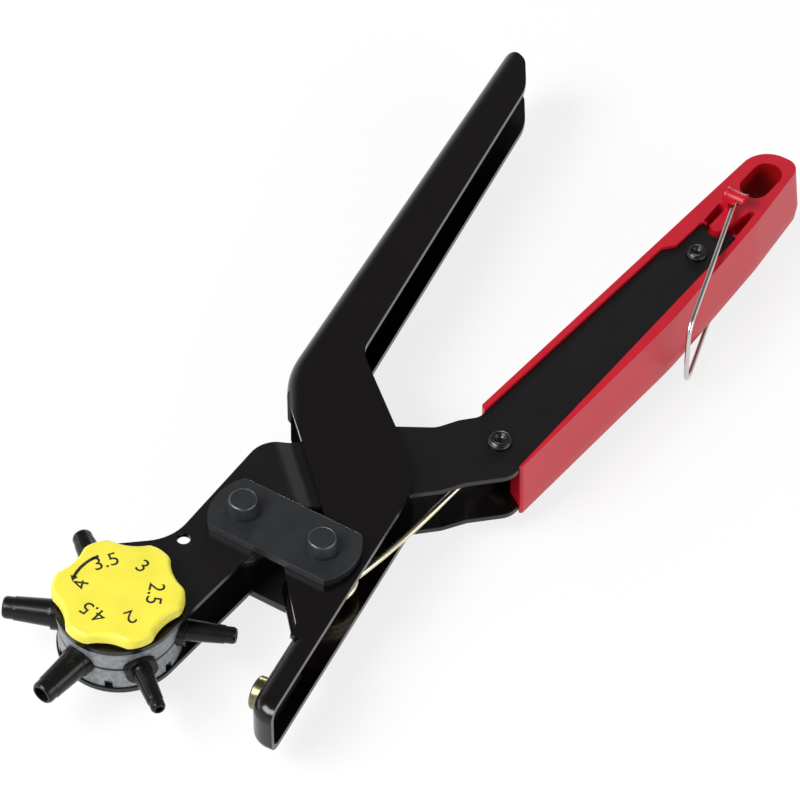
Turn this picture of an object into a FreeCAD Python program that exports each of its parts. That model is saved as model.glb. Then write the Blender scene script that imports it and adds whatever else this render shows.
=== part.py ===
import FreeCAD, Part
import math
import os
from FreeCAD import Vector

# Revolving hole punch with two pressed sheet levers, a six tube turret and an anvil.
# Origin on the axis of the main pivot rivet, on the flat face of its back head.
# +X runs from the jaws to the handles, +Z from the back face to the front face.

# Stack of the levers, in millimetres
SHEET = 1.6
CHANNEL_WIDTH = 17.0
STRAP = 2.5
HEAD_HEIGHT = 4.1
RUN = 0.06
SEAT = 0.1
OVERRUN = 1.0
ENDLESS = 400.0
RIM_CHECK_SHARE = 0.9
STRAIGHT_SHARE = 1e-6
PARALLEL_SHARE = 1e-9
ARC_SPAN = 90.0

# Main places, seen from the front
TURRET_X = -41.2
TURRET_Y = 36.1
STRAP_PITCH = 24.4

# Frame lever: jaw with the anvil, crossing and upper handle
JAW_ANGLE = 186.0
JAW_REACH = 53.4
JAW_DROP = 4.5
JAW_DEPTH = 7.4
JAW_WEB_START = 24.0
NOSE_RADIUS = 6.0
CHIN_RADIUS = 0.5
ROOT_RADIUS = 3.6
CROSSING = 46.0
CROSSING_SHARES = {
    "shoulder": (-0.076, 0.243, 0.15),
    "waist": (0.235, 0.130, 0.06),
    "elbow": (0.996, 0.917, 0.54),
    "inner_nose": (0.750, -0.178, 0.43),
}
HANDLE_ANGLE = 5.1
HANDLE_LENGTH = 137.2
HANDLE_ROOT_WIDTH = 15.4
HANDLE_TIP_WIDTH = 11.7
HANDLE_LEAD = 17.5
HANDLE_INNER_RADIUS = 8.0
TIP_OUTER_RADIUS = 3.0
TIP_MIDDLE_BACK = 2.0
TIP_MIDDLE_DROP = 6.4
TIP_MIDDLE_RADIUS = 5.5
TIP_INNER_BACK = 12.2
TIP_INNER_RADIUS = 14.0
HANDLE_FOLD = 4.0
JAW_FOLD = 4.2
ELBOW_FOLD_TURN = 28.0
WEB_PAST_ELBOW = 0.6
FOLD_RUNOUT = 16.0
FILL_SHARE = 0.3

# Anvil, riveted through the jaw web
ANVIL_RADIUS = 4.6
ANVIL_THICK = 2.8
ANVIL_FROM_NOSE = 11.2
ANVIL_SHANK_RADIUS = 2.6
ANVIL_TAIL_RADIUS = 3.8
ANVIL_TAIL = 1.3
ANVIL_EDGE = 0.5

# Jaw cheeks: two equal pressed plates that carry the turret and the grip
CHEEK_END_RADIUS = 16.85
CHEEK_END_SHARES = {"top": (0.30, 0.954, 0.0), "ear": (0.843, 0.766, 0.29), "foot": (-0.11, -0.994, 0.0)}
CHEEK_REACH = 62.0
CHEEK_SHARES = {
    "crotch": (0.168, 0.224, 0.06),
    "root_low": (0.779, -0.458, 0.10),
    "root_high": (0.990, -0.168, 0.06),
    "hollow": (0.868, -0.040, 0.10),
    "hip": (0.768, 0.132, 0.18),
    "shoulder": (0.360, 0.553, 0.13),
    "neck": (-0.266, 0.579, 0.22),
}
TANG_END = 153.0
TANG_LOW_DROP = 8.5
TANG_HIGH_DROP = 13.0
TANG_STEP_BACK = 14.5
TANG_STEP_LENGTH = 3.0
TANG_STEP = 2.4
TANG_CORNER = 1.5
FORK_SHARE = 0.4
FORK_RADIUS = 3.0
LEFT_RAMP_ANGLE = 137.6
LEFT_RAMP_LOW = -1.9
LEFT_RAMP_HIGH = 2.3
RIGHT_RAMP_ANGLE = -53.0
RIGHT_RAMP_LOW = 32.9
RIGHT_RAMP_HIGH = 39.7
RAMP_BEND = 5.0
FLAT_OVERLAP = 10.0
LACE_HOLE_RADIUS = 1.8
LACE_HOLE_SHARES = (-0.24194, 0.5371, 0.0)

# Straps and the two main rivets
STRAP_HALF_WIDTH = 9.1
STRAP_END = 8.6
STRAP_FOOT = 9.9
STRAP_BOW = 3.4
STRAP_CORNER = 1.0
SHANK_RADIUS = 3.0
HEAD_RADIUS = 4.6
HEAD_SHARES = ((0.0, 1.0), (0.74, 1.0), (0.82, 0.92), (1.0, 0.0))
SLEEVE_RADIUS = 4.6

# Grip and its rivets
GRIP_RIM = 1.0
GRIP_NOSE_BACK = 2.7
GRIP_NOSE_WALL = 1.2
GRIP_BULGE_WALL = 4.1
GRIP_HEEL_WALL = 2.8
GRIP_BULGE_SHARE = 0.66
GRIP_HEEL_AHEAD = 7.0
GRIP_INNER_WALL = 1.7
GRIP_INNER_START = 3.0
GRIP_END_AHEAD = 33.2
GRIP_END_LOW = 9.1
GRIP_END_HIGH = 5.2
GRIP_CORNER = 0.8
GRIP_HEEL_CORNER = 4.0
GRIP_END_RADIUS = 8.5
GRIP_BULGE_RADIUS = 150.0
GRIP_HEEL_RADIUS = 60.0
GRIP_PARTING = 4.5
GRIP_DRAFT = 0.9
EYE_ROOM_RADIUS = 5.4
SLOT_AHEAD = 21.3
SLOT_DROP = 1.7
SLOT_LENGTH = 14.2
SLOT_WIDTH = 8.4
SLOT_ANGLE = -5.0
POCKET_DEPTH = 4.6
POCKET = 10.8
POCKET_INNER_SHARES = ((0.0, 0.17), (0.79, 0.12), (0.72, 0.36), (0.0, 0.40))
POCKET_OUTER_SHARES = ((0.0, -0.17), (0.90, -0.44), (0.96, -0.60), (0.0, -0.58))
POCKET_CORNER_SHARE = 0.05
RIB_HALF = 1.6
RIVET_FRONT_BACK = 4.5
RIVET_REAR_BACK = 10.7
RIVET_FRONT_HEAD = 3.3
RIVET_REAR_HEAD = 2.9
HANDLE_SHANK_RADIUS = 2.0
HANDLE_HEAD = 1.5
HANDLE_HEAD_SHARES = (
    (0.0, 0.35),
    (0.3, 0.4),
    (0.5, 0.85),
    (0.62, 1.0),
    (0.76, 0.95),
    (1.0, 0.45),
    (1.0, 0.0),
)

# Wire bail at the end of the grip
BAIL_AHEAD = 10.6
BAIL_REACH = 50.2
BAIL_ANGLE = 195.0
BAIL_WIRE = 1.6
BAIL_HALF = 11.5
BAIL_BEND = 2.0
BAIL_CORNER = 5.0
BAIL_PIN = 6.0
HOOD_RADIUS = 3.9
HOOD_INNER_RADIUS = 2.4
HOOD_ROOF = 0.8
HOOD_GAP = 0.3
HOOD_START = 102.0
HOOD_SWEEP = 70.0
HOOD_ROOF_START = 72.0
HOOD_ROOF_SWEEP = 130.0

# Turret
WHEEL_RADIUS = 16.4
WHEEL_RIM = 2.2
WHEEL_WAIST_RADIUS = 15.9
WHEEL_GAP = 0.15
CHAMBER_RADIUS = 9.0
CHAMBER_WALL = 1.8
HUB_RADIUS = 9.0
HUB_BORE_RADIUS = 7.0
HUB_RISE = 3.1
BACK_HUB_RADIUS = 5.0
AXLE_RADIUS = 3.0
AXLE_BOSS_RADIUS = 4.6
AXLE_FLANGE = 1.0
WASHER_RADIUS = 7.5
WASHER = 1.0
AXLE_HEAD_RADIUS = 5.4
AXLE_HEAD = 1.8
AXLE_HEAD_SHARES = ((0.0, 1.0), (0.7, 1.0), (1.0, 0.6), (1.0, 0.0))
TUBE_ANGLE = -67.0
TUBE_SIZES = (2.5, 2.0, 4.5, 4.0, 3.5, 3.0)
TUBE_TIP = 30.8
TUBE_SPIGOT_RADIUS = 3.2
TUBE_COLLAR_RADIUS = 4.4
TUBE_COLLAR_SEAT = 15.3
TUBE_COLLAR = 2.4
TUBE_BAND = 3.0
TUBE_BAND_STEP = 0.2
TUBE_ROOT_WALL = 1.75
TUBE_BAND_WALL = 1.2
TUBE_EDGE_WALL = 0.55
TUBE_EDGE = 0.8
NOTCH_WIDTH = 2.2
NOTCH_DEPTH = 1.3
NOTCH_HEIGHT = 2.4
SCREW_ANGLE = 23.0
SCREW_COUNT = 3
SCREW_CIRCLE = 12.4
SCREW_LENGTH = 10.5
SCREW_RADIUS = 1.1
SCREW_HEAD_RADIUS = 1.9
SCREW_HEAD = 1.0

# Waste cap on the turret hub, held by a bayonet
CAP_RADIUS = 17.4
CAP_SCALLOP_RADIUS = 15.2
CAP_SHOULDER_RADIUS = 17.1
CAP_LIFT = 1.2
CAP_TOP = 28.5
CAP_ROOF = 1.5
CAP_BORE_RADIUS = 10.5
CAP_EDGE = 1.3
CAP_CORNER = 2.5
CAP_LOBE = 12.0
LUG_RADIUS = 10.2
LUG = 0.9
LUG_SPAN = 24.0
LUG_GAP_SPAN = 30.0
LUG_COUNT = 3
FLANGE_GAP = 0.15
HUB_CLEARANCE = 0.35
CAP_UNLOCK = 30.0

# Detent leaf on the strap rivet
LEAF = 0.8
LEAF_HEIGHT = 2.0
LEAF_NOSE = 1.2
LEAF_EYE_SHARE = 0.4
LEAF_GAP = 0.35
LEAF_ANGLE = -14.0

# Opening spring
SPRING_WIRE = 1.7
SPRING_RADIUS = 8.6
SPRING_PITCH = 2.35
SPRING_TURNS = 2
SPRING_LEG_ANGLE = -16.0
SPRING_KNEE = 34.7
SPRING_KNEE_ANGLE = -22.4
SPRING_EYE_SWEEP = 270.0
SPRING_REST = 12.0
SPRING_FOOT = 6.0
SPRING_BEND = 3.0
SPRING_LEAD = 2.0
SPRING_EYE_DROP = 2.4
SPRING_EYE_GAP = 0.25
SPRING_WEB_GAP = 0.3

# Heights worked out from the stack
MID = HEAD_HEIGHT + STRAP + CHANNEL_WIDTH / 2
CHEEK_TOP = MID + CHANNEL_WIDTH / 2
FRAME_TOP = CHEEK_TOP - RUN
FRAME_UNDER = FRAME_TOP - SHEET
LOW_TOP = FRAME_UNDER - RUN
STRAP_TOP = CHEEK_TOP + STRAP
TURRET = Vector(TURRET_X, TURRET_Y, 0)
LINK = Vector(0, STRAP_PITCH, 0)


def polar(angle, along, across=0):
    """Offset along a direction and square to it, to the left."""
    c = math.cos(math.radians(angle))
    s = math.sin(math.radians(angle))
    return Vector(c * along - s * across, s * along + c * across, 0)


def rounded(corners, closed=True):
    """Wire through corners (x, y, radius), each rounded by an arc."""
    points = [Vector(c[0], c[1], 0) for c in corners]
    last = len(points) - 1
    edges = []
    joints = []
    for i, point in enumerate(points):
        if not corners[i][2] or (not closed and i in (0, last)):
            joints.append((point, None, point))
            continue
        to_last = (points[i - 1] - point).normalize()
        to_next = (points[(i + 1) % len(points)] - point).normalize()
        half = (math.pi - to_last.getAngle(to_next)) / 2
        reach = corners[i][2] * math.tan(half)
        drop = corners[i][2] / math.cos(half) - corners[i][2]
        inward = (to_last + to_next).normalize()
        joints.append((point + to_last * reach, point + inward * drop, point + to_next * reach))
    for i, (start, middle, end) in enumerate(joints):
        if middle is not None:
            edges.append(Part.Arc(start, middle, end).toShape())
        if closed or i < last:
            edges.append(Part.makeLine(end, joints[(i + 1) % len(joints)][0]))
    return Part.Wire(edges)


def prism(corners, low, high):
    """Upright solid on an outline."""
    face = Part.Face(rounded(corners))
    face.translate(Vector(0, 0, low))
    return face.extrude(Vector(0, 0, high - low))


def strip(line, left, right):
    """Corners of a bent strip between two offsets of a line of bends (x, y, radius)."""
    points = [Vector(c[0], c[1], 0) for c in line]
    sides = []
    for offset in (left, -right):
        side = []
        for i, point in enumerate(points):
            before = point - points[i - 1] if i > 0 else points[1] - point
            after = points[i + 1] - point if i < len(points) - 1 else before
            before = Vector(before).normalize()
            after = Vector(after).normalize()
            left_before = Vector(-before.y, before.x, 0)
            left_after = Vector(-after.y, after.x, 0)
            normal = (left_before + left_after).normalize()
            place = point + normal * (offset / normal.dot(left_before))
            turn = before.x * after.y - before.y * after.x
            radius = line[i][2] - offset * math.copysign(1, turn) if line[i][2] else 0
            side.append((place.x, place.y, max(radius, 0)))
        sides.append(side)
    return sides[1] + sides[0][::-1]


def disc(centre, radius, low, high):
    """Upright cylinder between two heights."""
    return Part.makeCylinder(radius, high - low, Vector(centre.x, centre.y, low))


def flip(shape):
    """The same shape on the back face, mirrored in the middle plane."""
    return shape.mirror(Vector(0, 0, MID), Vector(0, 0, 1))


def spun(profile, centre=Vector(0, 0, 0)):
    """Solid of revolution about an upright axis from (radius, height) points."""
    points = [Vector(r, 0, z) for r, z in profile]
    face = Part.Face(Part.makePolygon(points + points[:1]))
    solid = face.revolve(Vector(0, 0, 0), Vector(0, 0, 1), 360)
    solid.translate(centre)
    return solid


def bent_wire(nodes, radius):
    """Round wire along nodes (point, direction), joined by biarcs."""
    edges = []
    for (p0, t0), (p1, t1) in zip(nodes, nodes[1:]):
        chord = p1 - p0
        if max(chord.cross(t0).Length, chord.cross(t1).Length) < STRAIGHT_SHARE * chord.Length:
            edges.append(Part.makeLine(p0, p1))
            continue
        both = t0 + t1
        a = 2 * (1 - t0.dot(t1))
        b = 2 * chord.dot(both)
        c = -chord.dot(chord)
        d = -c / b if a < PARALLEL_SHARE else (-b + math.sqrt(b * b - 4 * a * c)) / (2 * a)
        q0 = p0 + t0 * d
        q1 = p1 - t1 * d
        joint = (q0 + q1) * 0.5
        for start, peak, end in ((p0, q0, joint), (joint, q1, p1)):
            half = (peak - start).getAngle(end - peak) / 2
            weight = math.cos(half)
            middle = (start + peak * (2 * weight) + end) * (1 / (2 + 2 * weight))
            edges.append(Part.Arc(start, middle, end).toShape())
    spine = Part.Wire(edges)
    ring = Part.Wire(Part.makeCircle(radius, nodes[0][0], nodes[0][1]))
    return spine.makePipeShell([ring], True, False), spine


def at(origin, angle, along, across, radius=0.0):
    """Corner in the axes of one arm of a lever."""
    place = origin + polar(angle, along, across)
    return (place.x, place.y, radius)


def scaled(shares, unit, origin=Vector(0, 0, 0)):
    """Corner from its shares of a size."""
    return (origin.x + shares[0] * unit, origin.y + shares[1] * unit, shares[2] * unit)


# Corners of the frame lever
ELBOW = scaled(CROSSING_SHARES["elbow"], CROSSING)
ELBOW_POINT = Vector(ELBOW[0], ELBOW[1], 0)
ANVIL_PLACE = JAW_REACH - ANVIL_FROM_NOSE
JAW_NOSE = at(Vector(), JAW_ANGLE, JAW_REACH, JAW_DROP, NOSE_RADIUS)
JAW_CHIN = at(Vector(), JAW_ANGLE, JAW_REACH, JAW_DROP + JAW_DEPTH, CHIN_RADIUS)
JAW_ROOT = at(Vector(), JAW_ANGLE, JAW_WEB_START, JAW_DROP, ROOT_RADIUS)
TIP_OUTER = at(ELBOW_POINT, HANDLE_ANGLE, HANDLE_LENGTH, 0, TIP_OUTER_RADIUS)
TIP_MIDDLE_ALONG = HANDLE_LENGTH - TIP_MIDDLE_BACK
TIP_INNER_ALONG = HANDLE_LENGTH - TIP_INNER_BACK
TIP_MIDDLE = at(ELBOW_POINT, HANDLE_ANGLE, TIP_MIDDLE_ALONG, -TIP_MIDDLE_DROP, TIP_MIDDLE_RADIUS)
TIP_INNER = at(ELBOW_POINT, HANDLE_ANGLE, TIP_INNER_ALONG, -HANDLE_TIP_WIDTH, TIP_INNER_RADIUS)
INNER_ELBOW = at(ELBOW_POINT, HANDLE_ANGLE, HANDLE_LEAD, -HANDLE_ROOT_WIDTH, HANDLE_INNER_RADIUS)
WAIST = scaled(CROSSING_SHARES["waist"], CROSSING)
FRAME_CORNERS = [
    JAW_CHIN,
    scaled(CROSSING_SHARES["inner_nose"], CROSSING),
    INNER_ELBOW,
    TIP_INNER,
    TIP_MIDDLE,
    TIP_OUTER,
    ELBOW,
    WAIST,
    scaled(CROSSING_SHARES["shoulder"], CROSSING),
    JAW_ROOT,
    JAW_NOSE,
]


def along_line(start, end, distance):
    """Sharp corner on the line from one corner towards another."""
    a = Vector(start[0], start[1], 0)
    b = Vector(end[0], end[1], 0)
    place = a + (b - a).normalize() * distance
    return (place.x, place.y, 0)


def fold_sweep(line, radius, outside):
    """Sweep along the front edge of a web: what a bend leaves free outside, or what it fills inside."""
    path = rounded(line, closed=False)
    path.translate(Vector(0, 0, FRAME_TOP))
    start = Vector(line[0][0], line[0][1], FRAME_TOP)
    inward = Vector(line[0][1] - line[1][1], line[1][0] - line[0][0], 0).normalize()
    down = Vector(0, 0, -1)
    depth = 0 if outside else SHEET
    bend = radius - depth
    corner = start + (inward + down) * depth
    middle = corner + (inward + down) * (bend * (1 - math.sqrt(0.5)))
    arc = Part.Arc(corner + down * bend, middle, corner + inward * bend)
    over = OVERRUN if outside else SHEET * FILL_SHARE
    far = [inward * bend - down * over, (inward + down) * -over, down * bend - inward * over]
    corners = [corner + inward * bend] + [corner + step for step in far] + [corner + down * bend]
    edges = [arc.toShape()] + [Part.makeLine(a, b) for a, b in zip(corners, corners[1:])]
    return path.makePipeShell([Part.Wire(edges)], True, False)


def elbow_fold(past):
    """Line of the handle's fold, from beyond its tip to a distance past its bend at the elbow."""
    to_waist = math.degrees(math.atan2(WAIST[1] - ELBOW[1], WAIST[0] - ELBOW[0]))
    half = math.radians(to_waist % 360 - HANDLE_ANGLE - 180) / 2
    half_fold = math.radians(ELBOW_FOLD_TURN) / 2
    corner = at(ELBOW_POINT, HANDLE_ANGLE, ELBOW[2] * (math.tan(half) - math.tan(half_fold)), 0, ELBOW[2])
    reach = ELBOW[2] * math.tan(half_fold) + past
    return [
        at(ELBOW_POINT, HANDLE_ANGLE, HANDLE_LENGTH + OVERRUN, 0),
        corner,
        at(Vector(corner[0], corner[1], 0), HANDLE_ANGLE + 180 + ELBOW_FOLD_TURN, reach, 0),
    ]


def frame_channel():
    """Frame lever, one sheet folded into a channel at the handle and the jaw."""
    plate = prism(FRAME_CORNERS, FRAME_UNDER, FRAME_TOP)
    low = 2 * MID - FRAME_UNDER
    block = prism(FRAME_CORNERS, low, FRAME_UNDER)
    jaw_start = along_line(JAW_ROOT, JAW_NOSE, ROOT_RADIUS)
    jaw_line = [jaw_start, JAW_NOSE, along_line(JAW_NOSE, JAW_CHIN, JAW_DEPTH + OVERRUN)]
    body = plate.fuse(flip(plate))
    for line, radius in ((elbow_fold(WEB_PAST_ELBOW), HANDLE_FOLD), (jaw_line, JAW_FOLD)):
        fill = fold_sweep(line, radius, False)
        web = prism(strip(line, SHEET, 0), low, FRAME_UNDER)
        body = body.fuse(web.multiFuse([fill, flip(fill)]).common(block))
    for line, radius in ((elbow_fold(FOLD_RUNOUT), HANDLE_FOLD), (jaw_line, JAW_FOLD)):
        cutter = fold_sweep(line, radius, True)
        body = body.cut(cutter).cut(flip(cutter))
    body = body.cut(disc(Vector(), SHANK_RADIUS, 0, STRAP_TOP))
    return body.cut(anvil_pin(ANVIL_SHANK_RADIUS, -SHEET - OVERRUN, OVERRUN))


def anvil_pin(radius, low, high):
    """Cylinder square to the jaw web, at the anvil's place."""
    foot = at(Vector(), JAW_ANGLE, ANVIL_PLACE, JAW_DROP - low)
    return Part.makeCylinder(radius, high - low, Vector(foot[0], foot[1], MID), polar(JAW_ANGLE - 90, 1))


def anvil():
    """Soft anvil disc with its shank riveted over inside the jaw."""
    disc_body = anvil_pin(ANVIL_RADIUS, 0, ANVIL_THICK)
    rims = [e for e in disc_body.Edges if len(e.Vertexes) == 1]
    rim = max(rims, key=lambda e: e.CenterOfMass.y)
    disc_body = disc_body.makeChamfer(ANVIL_EDGE, [rim])
    shank = anvil_pin(ANVIL_SHANK_RADIUS, -SHEET, 0)
    tail = anvil_pin(ANVIL_TAIL_RADIUS, -SHEET - ANVIL_TAIL, -SHEET)
    return disc_body.fuse(shank).fuse(tail)


def rivet(place, shank, under, over, radius, height, shares):
    """Rivet with equal heads under and over the plates it holds."""
    over_head = [(r * radius, over + h * height) for r, h in shares]
    under_head = [(r * radius, under - h * height) for r, h in shares]
    return spun(under_head + [(shank, under), (shank, over)] + over_head[::-1], place)


def tube(place, inner, outer, low, high):
    """Upright ring."""
    return disc(place, outer, low, high).cut(disc(place, inner, low, high))


# Corners of the jaw cheeks
ROOT_LOW = scaled(CHEEK_SHARES["root_low"], CHEEK_REACH)
ROOT_HIGH = scaled(CHEEK_SHARES["root_high"], CHEEK_REACH)
LACE_HOLE = Vector(*scaled(LACE_HOLE_SHARES, CHEEK_REACH))


def tang_low(x):
    """Lower edge of the tang."""
    return ROOT_LOW[1] - TANG_LOW_DROP * (x - ROOT_LOW[0]) / (TANG_END - ROOT_LOW[0])


def tang_high(x):
    """Upper edge of the tang before its step."""
    return ROOT_HIGH[1] - TANG_HIGH_DROP * (x - ROOT_HIGH[0]) / (TANG_END - ROOT_HIGH[0])


TANG_TIP_HIGH = tang_high(TANG_END) - TANG_STEP
FORK = Vector(TANG_END, TANG_TIP_HIGH + (tang_low(TANG_END) - TANG_TIP_HIGH) * FORK_SHARE, 0)
FRONT_X = ROOT_HIGH[0] - RIVET_FRONT_BACK
REAR_X = TANG_END - RIVET_REAR_BACK
RIVET_FRONT = Vector(FRONT_X, (tang_low(FRONT_X) + tang_high(FRONT_X)) / 2, 0)
RIVET_REAR = Vector(REAR_X, (tang_low(REAR_X) + tang_high(REAR_X) - TANG_STEP) / 2, 0)
BAIL = Vector(TANG_END + BAIL_AHEAD, FORK.y, 0)
CHEEK_IN = CHEEK_TOP - SHEET
CHEEK_BACK_IN = 2 * MID - CHEEK_IN
CHEEK_BACK = 2 * MID - CHEEK_TOP


def cheek_plan(low, high):
    """Plan of a jaw cheek, without the fork at the end of its tang."""
    step_x = TANG_END - TANG_STEP_BACK
    step_end = step_x + TANG_STEP_LENGTH
    corners = [
        scaled(CHEEK_END_SHARES["foot"], CHEEK_END_RADIUS, TURRET),
        scaled(CHEEK_SHARES["crotch"], CHEEK_REACH),
        ROOT_LOW,
        (TANG_END, tang_low(TANG_END), TANG_CORNER),
        (TANG_END, TANG_TIP_HIGH, TANG_CORNER),
        (step_end, tang_high(step_end) - TANG_STEP, TANG_CORNER),
        (step_x, tang_high(step_x), TANG_CORNER),
        ROOT_HIGH,
        scaled(CHEEK_SHARES["hollow"], CHEEK_REACH),
        scaled(CHEEK_SHARES["hip"], CHEEK_REACH),
        scaled(CHEEK_SHARES["shoulder"], CHEEK_REACH),
        scaled(CHEEK_SHARES["neck"], CHEEK_REACH),
        scaled(CHEEK_END_SHARES["ear"], CHEEK_END_RADIUS, TURRET),
        scaled(CHEEK_END_SHARES["top"], CHEEK_END_RADIUS, TURRET),
    ]
    return prism(corners, low, high).fuse(disc(TURRET, CHEEK_END_RADIUS, low, high))


def joggled(angle, start, low_end, high_start):
    """Wide sheet that steps up once, its distances measured along an angle."""
    low = LOW_TOP - SHEET / 2
    high = CHEEK_TOP - SHEET / 2
    line = [(start, low, 0), (low_end, low, RAMP_BEND), (high_start, high, RAMP_BEND), (ENDLESS, high, 0)]
    sheet = prism(strip(line, SHEET / 2, SHEET / 2), -ENDLESS, ENDLESS)
    sheet.rotate(Vector(), Vector(1, 0, 0), 90)
    sheet.rotate(Vector(), Vector(0, 0, 1), angle)
    return sheet


def jaw_cheek(hub_radius, low):
    """One pressed cheek, stepped down where the frame crosses it."""
    left = joggled(LEFT_RAMP_ANGLE, FLAT_OVERLAP - RIGHT_RAMP_LOW, LEFT_RAMP_LOW, LEFT_RAMP_HIGH)
    right = joggled(RIGHT_RAMP_ANGLE, FLAT_OVERLAP, RIGHT_RAMP_LOW, RIGHT_RAMP_HIGH)
    plate = cheek_plan(0, STRAP_TOP).common(left.fuse(right))
    holes = [
        disc(TURRET, hub_radius, 0, STRAP_TOP),
        disc(LINK, SHANK_RADIUS, 0, STRAP_TOP),
        disc(LACE_HOLE, LACE_HOLE_RADIUS, 0, STRAP_TOP),
        disc(RIVET_FRONT, HANDLE_SHANK_RADIUS, 0, STRAP_TOP),
        disc(RIVET_REAR, HANDLE_SHANK_RADIUS, 0, STRAP_TOP),
        disc(FORK, FORK_RADIUS, 0, STRAP_TOP),
    ]
    plate = plate.cut(Part.makeCompound(holes)).removeSplitter().Solids[0]
    plate.translate(Vector(0, 0, low - CHEEK_IN))
    return plate


def strap(low):
    """Link strap over the pivot rivet and the strap rivet."""
    top = STRAP_PITCH + STRAP_END
    left = Vector(-STRAP_HALF_WIDTH, 0, low)
    right = Vector(STRAP_HALF_WIDTH, 0, low)
    arcs = []
    for side, end in ((1, top), (-1, -STRAP_FOOT)):
        corners = [left + Vector(0, end - side * STRAP_BOW, 0), right + Vector(0, end - side * STRAP_BOW, 0)]
        arcs.append((corners[0], Vector(0, end, low), corners[1]))
    edges = [Part.Arc(*arcs[0]).toShape(), Part.makeLine(arcs[0][2], arcs[1][2])]
    edges += [Part.Arc(*arcs[1]).toShape(), Part.makeLine(arcs[1][0], arcs[0][0])]
    plate = Part.Face(Part.Wire(Part.sortEdges(edges)[0])).extrude(Vector(0, 0, STRAP))
    corners = [e for e in plate.Edges if abs(e.tangentAt(e.FirstParameter).z) > RIM_CHECK_SHARE]
    plate = plate.makeFillet(STRAP_CORNER, corners)
    plate = plate.cut(disc(Vector(), SHANK_RADIUS + RUN, 0, STRAP_TOP))
    return plate.cut(disc(LINK, SHANK_RADIUS, 0, STRAP_TOP))


def detent_spring():
    """Leaf on the strap spacer whose nose rides on the rim of the turret."""
    low = CHEEK_BACK_IN + WHEEL_GAP
    high = low + LEAF_HEIGHT
    nose = TURRET + polar(LEAF_ANGLE, WHEEL_RADIUS + LEAF_GAP + LEAF_NOSE)
    eye = LINK + Vector(0, SLEEVE_RADIUS + LEAF * LEAF_EYE_SHARE, 0)
    leaf = prism(strip([(eye.x, eye.y, 0), (nose.x, nose.y, 0)], LEAF / 2, LEAF / 2), low, high)
    ring = disc(LINK, SLEEVE_RADIUS + LEAF, low, high)
    body = ring.fuse(leaf).fuse(disc(nose, LEAF_NOSE, low, high))
    return body.cut(disc(LINK, SLEEVE_RADIUS, low, high))


def slot(centre, length, width, angle, low, high):
    """Upright solid with half round ends."""
    half = (length - width) / 2
    ends = [centre - polar(angle, half), centre + polar(angle, half)]
    sides = [at(ends[0], angle, 0, width / 2), at(ends[1], angle, 0, width / 2)]
    sides += [at(ends[1], angle, 0, -width / 2), at(ends[0], angle, 0, -width / 2)]
    return prism(sides, low, high).multiFuse([disc(end, width / 2, low, high) for end in ends])


def sector(centre, radius, start, span, low, high):
    """Upright wedge of a cylinder."""
    wedge = Part.makeCylinder(radius, high - low, Vector(), Vector(0, 0, 1), span)
    wedge.rotate(Vector(), Vector(0, 0, 1), start)
    wedge.translate(Vector(centre.x, centre.y, low))
    return wedge


def grip_ring(inset):
    """Corners of the grip's outline, moved inwards."""
    nose_x = ROOT_LOW[0] + GRIP_NOSE_BACK
    bulge_x = ROOT_LOW[0] + (TANG_END - ROOT_LOW[0]) * GRIP_BULGE_SHARE
    end_x = TANG_END + GRIP_END_AHEAD
    wall_x = ROOT_HIGH[0] + GRIP_INNER_START
    return [
        (nose_x, tang_low(nose_x) - GRIP_NOSE_WALL + inset / 2, GRIP_CORNER),
        (bulge_x, tang_low(bulge_x) - GRIP_BULGE_WALL + inset, GRIP_BULGE_RADIUS),
        (TANG_END + GRIP_HEEL_AHEAD, tang_low(TANG_END) - GRIP_HEEL_WALL + inset, GRIP_HEEL_RADIUS),
        (end_x - inset, FORK.y - GRIP_END_LOW + inset, GRIP_HEEL_CORNER),
        (end_x - inset, FORK.y + GRIP_END_HIGH - inset / 2, GRIP_END_RADIUS),
        (wall_x, tang_high(wall_x) + GRIP_INNER_WALL, GRIP_CORNER),
    ]


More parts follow.
